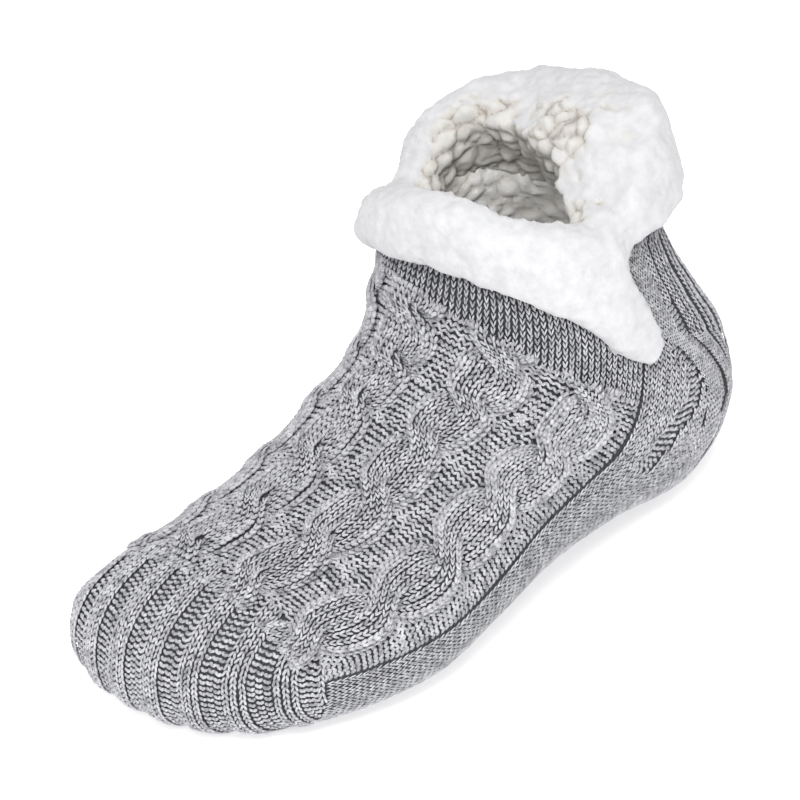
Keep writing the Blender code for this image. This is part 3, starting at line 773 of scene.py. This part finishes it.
def yarnTree(material):
    tree = bpy.data.node_groups.new("yarn_legs", "GeometryNodeTree")
    face = tree.interface
    face.new_socket("Geometry", in_out="INPUT", socket_type="NodeSocketGeometry")
    sidesSocket = face.new_socket("Yarn Sides", in_out="INPUT", socket_type="NodeSocketInt")
    ringsSocket = face.new_socket("Yarn Rings", in_out="INPUT", socket_type="NodeSocketInt")
    face.new_socket("Geometry", in_out="OUTPUT", socket_type="NodeSocketGeometry")
    group = addNode(tree, "NodeGroupInput")
    leg = addNode(tree, "GeometryNodeMeshUVSphere", inputs={"Radius": 0.5},
                  links={"Segments": group.outputs["Yarn Sides"], "Rings": group.outputs["Yarn Rings"]})
    position = addNode(tree, "GeometryNodeInputPosition")
    kept = addNode(tree, "GeometryNodeStoreNamedAttribute", {"data_type": "FLOAT_VECTOR", "domain": "POINT"},
                   {"Name": "yarn"}, {"Geometry": leg.outputs["Mesh"], "Value": position.outputs[0]})
    turn = addNode(tree, "GeometryNodeInputNamedAttribute", {"data_type": "FLOAT_VECTOR"}, {"Name": "turn"})
    size = addNode(tree, "GeometryNodeInputNamedAttribute", {"data_type": "FLOAT_VECTOR"}, {"Name": "size"})
    placed = addNode(tree, "GeometryNodeInstanceOnPoints", links={
        "Points": group.outputs["Geometry"], "Instance": kept.outputs["Geometry"],
        "Rotation": turn.outputs["Attribute"], "Scale": size.outputs["Attribute"]})
    real = addNode(tree, "GeometryNodeRealizeInstances", links={"Geometry": placed.outputs["Instances"]})
    smooth = addNode(tree, "GeometryNodeSetShadeSmooth", links={"Geometry": real.outputs["Geometry"]})
    painted = addNode(tree, "GeometryNodeSetMaterial", inputs={"Material": material},
                      links={"Geometry": smooth.outputs["Geometry"]})
    addNode(tree, "NodeGroupOutput", links={"Geometry": painted.outputs["Geometry"]})
    return tree, sidesSocket.identifier, ringsSocket.identifier


def legTurns(direction, normal):  # Euler angles of a leg whose length lies along z
    x, y, z = np.cross(normal, direction), normal, direction
    aboutX = np.arctan2(y[:, 2], z[:, 2])
    aboutY = -np.arcsin(np.clip(x[:, 2], -1, 1))
    return np.stack([aboutX, aboutY, np.arctan2(x[:, 1], x[:, 0])], axis=-1)


# A leg's rings and sides. The sole and heel have the most legs, so theirs are plainer.
yarnLeg = {"rings": 3, "sides": 5, "plainSides": 4, "plain": ("knit_sole", "knit_heel"),
           "uneven": 0.06, "aside": 0.05 * mm, "askew": 0.08}


def makeYarnPiece(name, tree, sidesId, ringsId):
    place, direction, normal, size = [np.concatenate(parts) for parts in zip(*legs[name])]
    seed = np.random.default_rng(len(name) * 7 + 3)
    place = place + seed.normal(0, yarnLeg["aside"], place.shape)
    direction = turned(direction, normal, seed.normal(0, yarnLeg["askew"], len(place)))
    size = size * (1 + seed.normal(0, yarnLeg["uneven"], size.shape))
    reach = 0.5 * (np.abs(direction[:, 2]) * size[:, 2] + np.sqrt(1 - direction[:, 2] ** 2) * size[:, 1])
    place[:, 2] = np.maximum(place[:, 2], reach + 0.05 * mm)   # nothing hangs through the floor
    turns = legTurns(direction, normal)
    points = bpy.data.meshes.new(name + "_points")
    points.from_pydata(place.tolist(), [], [])
    for attribute, values in (("turn", turns), ("size", size)):
        points.attributes.new(attribute, "FLOAT_VECTOR", "POINT").data.foreach_set("vector", values.ravel())
    holder = newObject(name + "_points", points)
    modifier = holder.modifiers.new("yarn", "NODES")
    modifier.node_group = tree
    modifier[sidesId] = yarnLeg["plainSides"] if name in yarnLeg["plain"] else yarnLeg["sides"]
    modifier[ringsId] = yarnLeg["rings"]
    mesh = bpy.data.meshes.new_from_object(holder.evaluated_get(bpy.context.evaluated_depsgraph_get()))
    mesh.name = name
    for attribute in ("turn", "size"):
        if attribute in mesh.attributes:
            mesh.attributes.remove(mesh.attributes[attribute])
    holder.modifiers.remove(modifier)
    bpy.data.objects.remove(holder)
    bpy.data.meshes.remove(points)
    piece = newObject(name, mesh)
    mesh.calc_loop_triangles()
    print(name, len(place), "legs,", len(mesh.loop_triangles), "triangles")
    return piece


core = {
    "stationStep": 0.06,
    "sideCount": 300,
    "innerStep": 0.6,             # stations between the rings of the inner face
    "depth": 0.9 * mm,            # below the plain knit's surface
    "underRope": 0.6 * mm,        # and below the upper rope at a crossing
    "wall": 2.0 * mm,
    "seamDepth": 0.7 * mm,
}


def coreHeight(station, side):
    side = (side + 2) % 4 - 2
    shift, pitch = panelAt(station)
    across = (side - shift) / pitch
    outline = outlineAt(turnAt(station))
    turn = turnAt(station)
    inPanel = softStep(station, 2.95, 3.3) * (1 - softStep(station, 10.2, 10.7)) * (np.abs(side) < 1)
    collarStart = np.interp(side, knit["collarSide"], knit["collarFrom"])
    rise = softStep(turn, -0.42, -0.12) * (1 - softStep(station, collarStart - 0.25, collarStart + 0.1))
    off = turn - np.round(turn)
    near = np.exp(-(off / knit["crossReach"]) ** 2)
    half = cableHalfAt(turn)
    overRope = np.tanh(off / knit["crossQuick"]) * half / 2
    padTop = knit["ropeHeight"] * 0.85 + knit["gutterSink"]
    overTop = knit["ropeHeight"] + knit["ropeLift"] + knit["gutterSink"] + core["depth"] - core["underRope"]
    ropes = np.zeros(station.shape)
    for cable, relief in zip(knit["cables"], knit["cableRelief"]):
        aside = across - cable
        inOver = 1 - softStep(np.abs(aside - overRope) / half, 0.36, 0.48)
        pad = padTop * pillow(aside / outline) * (np.abs(aside) < outline)
        crossed = near * (inOver * (overTop - pad) - (1 - inOver) * 1.5 * pad)
        ropes = np.maximum(ropes, relief * (pad + crossed))
    height = rise * ropes * (np.abs(side) < 1) - inPanel * knit["gutterSink"]
    seam = np.exp(-((np.abs(side) - 1) / 0.012) ** 2) * softStep(station, 3.2, 3.6)
    return height - core["seamDepth"] * seam - core["depth"]


def coreStation(station, side):  # up to where the cuff hides it
    side = (side + 2) % 4 - 2
    top = np.minimum(cuffFromAt(side) + 0.5, 15.2)
    return np.minimum(station, 8) + np.maximum(station - 8, 0) / (lastStation - 8) * (top - 8)


def makeCore():
    toeTip = [0.08, 0.16, 0.3, 0.5]
    stations = np.concatenate([toeTip, np.arange(0.7, lastStation + 0.01, core["stationStep"])])
    sides = np.linspace(-2, 2, core["sideCount"], endpoint=False)
    station, side = np.meshgrid(stations, sides, indexing="ij")
    station = coreStation(station, side)
    points, normals = onSock(station, side)
    outer = points + normals * coreHeight(station, side)[..., None]
    outer[..., 2] = np.maximum(outer[..., 2], 0.2 * mm)
    coarse = np.concatenate([np.arange(0.7, lastStation - 0.5, core["innerStep"]), [stations[-1]]])
    station, side = np.meshgrid(coarse, sides, indexing="ij")
    points, normals = onSock(coreStation(station, side), side)
    inner = points - normals * (core["depth"] + core["wall"])
    inner[..., 2] = np.maximum(inner[..., 2], 1.5 * mm)
    mesh = meshFromRings("knit_core", list(outer) + list(inner[::-1]))
    mesh.shade_smooth()
    return newObject("knit_core", mesh)


def noiseAt(points, size, seed, octaves=3):
    shifted = points / size + seed * 17.3
    values = [mathutils.noise.fractal(mathutils.Vector(p), 1.0, 2.0, octaves) for p in shifted]
    return np.array(values)


def clumpsAt(points, size, seed):  # 0 in the middle of a clump, 1 in the crease between two
    shifted = points / size + seed * 9.1
    creases = []
    for p in shifted:
        distance, _ = mathutils.noise.voronoi(mathutils.Vector(p))
        creases.append(1 - (distance[1] - distance[0]) * 1.5)
    return np.clip(np.array(creases), 0, 1)


def vertexArrays(mesh):
    count = len(mesh.vertices)
    places, normals = np.empty(count * 3), np.empty(count * 3)
    mesh.vertices.foreach_get("co", places)
    mesh.vertices.foreach_get("normal", normals)
    return places.reshape(-1, 3), normals.reshape(-1, 3)


def remeshed(name, source, voxel, rounds):  # a merged copy of a CAD node, in even quads
    mesh = bpy.data.objects[source].data.copy()
    mesh.name = name
    piece = newObject(name, mesh)
    weld = piece.modifiers.new("weld", "WELD")
    weld.merge_threshold = 0.01 * mm
    remesh = piece.modifiers.new("remesh", "REMESH")
    remesh.mode = "VOXEL"
    remesh.voxel_size = voxel
    smooth = piece.modifiers.new("smooth", "SMOOTH")
    smooth.factor = 0.5
    smooth.iterations = rounds
    even = bpy.data.meshes.new_from_object(piece.evaluated_get(bpy.context.evaluated_depsgraph_get()))
    piece.modifiers.clear()
    piece.data = even
    even.name = name
    bpy.data.meshes.remove(mesh)
    even.materials.clear()
    even.shade_smooth()
    return piece


curl = {
    "clump": 7 * mm,              # from one clump of curls to the next
    "clumpDepth": 2.4 * mm,
    "wobble": 11 * mm,            # size of the wander in the clumps' places
    "wobbleReach": 2.2 * mm,
    "lump": 12 * mm,
    "lumpHeight": 0.9 * mm,
    "curl": 2.6 * mm,
    "curlHeight": 0.5 * mm,
    "swell": 1.2 * mm,            # how far the pile stands off the solid
}


# Pushes the creases between clumps in, where share is 1, and keeps them as an attribute, which the fleece
# materials darken as painted shade.
def curled(piece, share):
    places, normals = vertexArrays(piece.data)
    wander = [noiseAt(places, curl["wobble"], 5 + axis, 2) for axis in range(3)]
    creases = clumpsAt(places + np.stack(wander, axis=-1) * curl["wobbleReach"], curl["clump"], 3) * share
    lumps = noiseAt(places, curl["lump"], 4) * curl["lumpHeight"]
    curls = noiseAt(places, curl["curl"], 8, 2) * curl["curlHeight"]
    push = share * (lumps + curls + curl["swell"]) - creases**1.5 * curl["clumpDepth"]
    moved = places + normals * push[:, None]
    piece.data.vertices.foreach_set("co", moved.ravel())
    piece.data.attributes.new("creaseShade", "FLOAT", "POINT").data.foreach_set("value", creases)
    piece.data.attributes.new("inside", "FLOAT", "POINT").data.foreach_set("value", share)
    piece.data.update()


def nearestOnSock(places, firstStation):
    row = np.flatnonzero(netStations >= firstStation)[::3]
    col = np.arange(0, len(netSides) - 1, 2)
    points, normals = netPoints[row][:, col].reshape(-1, 3), netNormals[row][:, col].reshape(-1, 3)
    tree = mathutils.kdtree.KDTree(len(points))
    for number, point in enumerate(points):
        tree.insert(point, number)
    tree.balance()
    found = np.array([tree.find(place)[1] for place in places])
    station = np.repeat(netStations[row], len(col))[found]
    side = np.tile(netSides[col], len(row))[found]
    return station, side, normals[found], ((places - points[found]) * normals[found]).sum(-1)


def bump(value, middle, width):
    return np.exp(-((value - middle) / width) ** 2)


shaping = {
    "from": 9.0,                  # first station of the knit that the fleece is matched to
    "tailDraw": 0.105,            # how far the fleece behind the tail goes in, in side coordinates
    "cornerMove": (7 * mm, -5 * mm, -7 * mm),
    "backFill": 2.0 * mm,
    "openBack": 4.0 * mm,         # how much wider the opening is at its back
    "liningRise": 5 * mm,         # how far the lining's top edge goes up under the cuff
}


# Draws the fleece in behind its near tail, eases the far front corner down and fills out the back.
def coaxed(places, normals):
    station, side, normal, out = nearestOnSock(places, shaping["from"])
    outer = softStep(out, -2 * mm, 4 * mm)
    behindTail = bump(side, -1.16, 0.13) * bump(station, 13.9, 1.7) * outer
    here, _ = onSock(station, side)
    there, _ = onSock(station, side + shaping["tailDraw"] * behindTail)
    moved = places + (there - here) - normal * (0.5 * behindTail * out)[:, None]
    corner = bump(side, 0.82, 0.24) * softStep(station, 11.5, 13.0)
    moved = moved + corner[:, None] * np.array(shaping["cornerMove"])
    back = bump(np.abs(side), 1.75, 0.4) * softStep(station, 14.0, 15.0) * outer
    moved = moved + normal * (back * shaping["backFill"])[:, None]
    return opened(moved, normals, station, side, normal)


# Eases the inner face outwards at the back of the opening.
def opened(places, normals, station, side, knitNormal):
    inner = softStep(-(normals * knitNormal).sum(-1), 0.0, 0.5)
    wide = bump(np.abs((side + 2.6) % 4 - 2), 0.0, 0.6) * softStep(station, 11.0, 13.5) * inner
    return places + knitNormal * (wide * shaping["openBack"])[:, None]


def makeCuff():
    fleece = {"voxel": 1.2 * mm, "smoothing": 6, "lump": 13 * mm, "lumpHeight": 1.3 * mm, "tuft": 3.2 * mm,
              "tuftHeight": 0.45 * mm, "swell": 0.1 * mm}
    piece = remeshed("plush_cuff", "sherpa_cuff", fleece["voxel"], fleece["smoothing"])
    places, normals = vertexArrays(piece.data)
    rim, _ = onSock(np.full(40, 14.0), np.linspace(-2, 2, 40, endpoint=False))
    towards = rim.mean(axis=0) - places
    towards[:, 2] = 0
    facing = (normals * unit(towards)).sum(-1)
    inside = softStep(facing + 0.3 * noiseAt(places, 6 * mm, 6, 2), 0.12, 0.35)
    places = coaxed(places, normals)
    lumps = noiseAt(places * np.array([1.0, 1.0, 0.5]), fleece["lump"], 1)   # upright creases
    tufts = noiseAt(places, fleece["tuft"], 2)
    push = fleece["swell"] + lumps * fleece["lumpHeight"] + tufts * fleece["tuftHeight"]
    piece.data.vertices.foreach_set("co", (places + normals * push[:, None]).ravel())
    piece.data.update()
    curled(piece, inside)
    return piece


def makeLining():
    fleece = {"voxel": 1.8 * mm, "smoothing": 4}
    piece = remeshed("sherpa_pile", "sherpa_lining", fleece["voxel"], fleece["smoothing"])
    places, normals = vertexArrays(piece.data)
    station, side, knitNormal, _ = nearestOnSock(places, shaping["from"])
    edgeOn = 1 - softStep(np.abs((normals * knitNormal).sum(-1)), 0.35, 0.6)
    top = softStep(normals[:, 2], 0.2, 0.7) * edgeOn * softStep(station, 11.0, 11.6)
    places[:, 2] += shaping["liningRise"] * top
    places = opened(places, normals, station, side, knitNormal)
    piece.data.vertices.foreach_set("co", places.ravel())
    piece.data.update()
    curled(piece, np.ones(len(places)))
    return piece


yarn, coreShade, plush, sherpa = yarnMaterial(), paintedShadeMaterial(), plushMaterial(), sherpaMaterial()

makeCables()
makeGutters()
makeFarWales()
makeToeRibs()
makeToeRings()
makeSole()
makeCollarRib()
print("stitches set out")

yarnNodes = yarnTree(yarn)
knitPieces = [makeYarnPiece(name, *yarnNodes) for name in sorted(legs)]

knitCore = makeCore()
# Painted shade: the core's dark grey makes the gaps between the stitches look shaded.
knitCore.data.materials.append(coreShade)
print("core made")
cuff = makeCuff()
cuff.data.materials.append(plush)
print("cuff made,", len(cuff.data.polygons), "faces")
lining = makeLining()
lining.data.materials.append(sherpa)
print("lining made,", len(lining.data.polygons), "faces")

for piece in knitPieces + [knitCore]:
    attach(piece, "root")
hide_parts("knit_shell")
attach(cuff, "root")
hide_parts("sherpa_cuff")
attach(lining, "root")
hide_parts("sherpa_lining")


def makeFloor():
    reach = 1.5
    corners = [(-reach, -reach, 0), (reach, -reach, 0), (reach, reach, 0), (-reach, reach, 0)]
    mesh = bpy.data.meshes.new("backdrop")
    mesh.from_pydata(corners, [], [(0, 1, 2, 3)])
    mesh.materials.append(floorMaterial())
    floor = newObject("backdrop", mesh)


studio = {
    "world": 0.5,
    "softboxes": (                # name, place, what it points at, diameter and power
        ("key", (-0.95, -0.45, 1.15), (0, 0, 0.05), 0.45, 5),
        ("top", (0.0, -0.25, 1.3), (0.05, 0, 0.1), 0.5, 3.4),
        ("front", (-0.64, -0.71, 1.36), (0.05, 0, 0.1), 0.5, 12),   # reaches down into the opening
    ),
}


def addSoftbox(name, place, target, size, power):
    light = bpy.data.lights.new(name, "AREA")
    light.shape = "DISK"
    light.size = size
    light.energy = power
    lamp = newObject(name, light)
    lamp.location = place
    aim = mathutils.Vector(target) - mathutils.Vector(place)
    lamp.rotation_euler = aim.to_track_quat("-Z", "Y").to_euler()


def makeLight():
    world = bpy.data.worlds.new("studio")
    bpy.context.scene.world = world
    world.use_nodes = True
    world.node_tree.nodes["Background"].inputs["Color"].default_value = linear("#ffffff")
    world.node_tree.nodes["Background"].inputs["Strength"].default_value = studio["world"]
    for softbox in studio["softboxes"]:
        addSoftbox(*softbox)


view = {
    "azimuth": math.radians(-44),
    "elevation": math.radians(37),
    "roll": math.radians(-4),
    "distance": 2.0,
    "lens": 269.6,                # millimetres, on a 36 mm sensor
    "target": (114.7 * mm, 0.0, 83.8 * mm),   # before the sock was centred
}


def makeCamera():
    a, e, roll = view["azimuth"], view["elevation"], view["roll"]
    back = mathutils.Vector((math.sin(a) * math.cos(e), -math.cos(a) * math.cos(e), math.sin(e)))
    right = mathutils.Vector((math.cos(a), math.sin(a), 0))
    up = back.cross(right)
    rolledRight = right * math.cos(roll) + up * math.sin(roll)
    rolledUp = up * math.cos(roll) - right * math.sin(roll)
    turn = mathutils.Matrix((rolledRight, rolledUp, back)).transposed()
    data = bpy.data.cameras.new("camera")
    data.sensor_width = 36
    data.lens = view["lens"]
    data.clip_end = 20
    camera = newObject("camera", data)
    target = mathutils.Vector(view["target"]) - mathutils.Vector(netShift)
    camera.matrix_world = mathutils.Matrix.Translation(target + back * view["distance"]) @ turn.to_4x4()
    bpy.context.scene.camera = camera


makeFloor()
makeLight()
makeCamera()
bpy.context.scene.view_settings.view_transform = "Standard"

print("done")
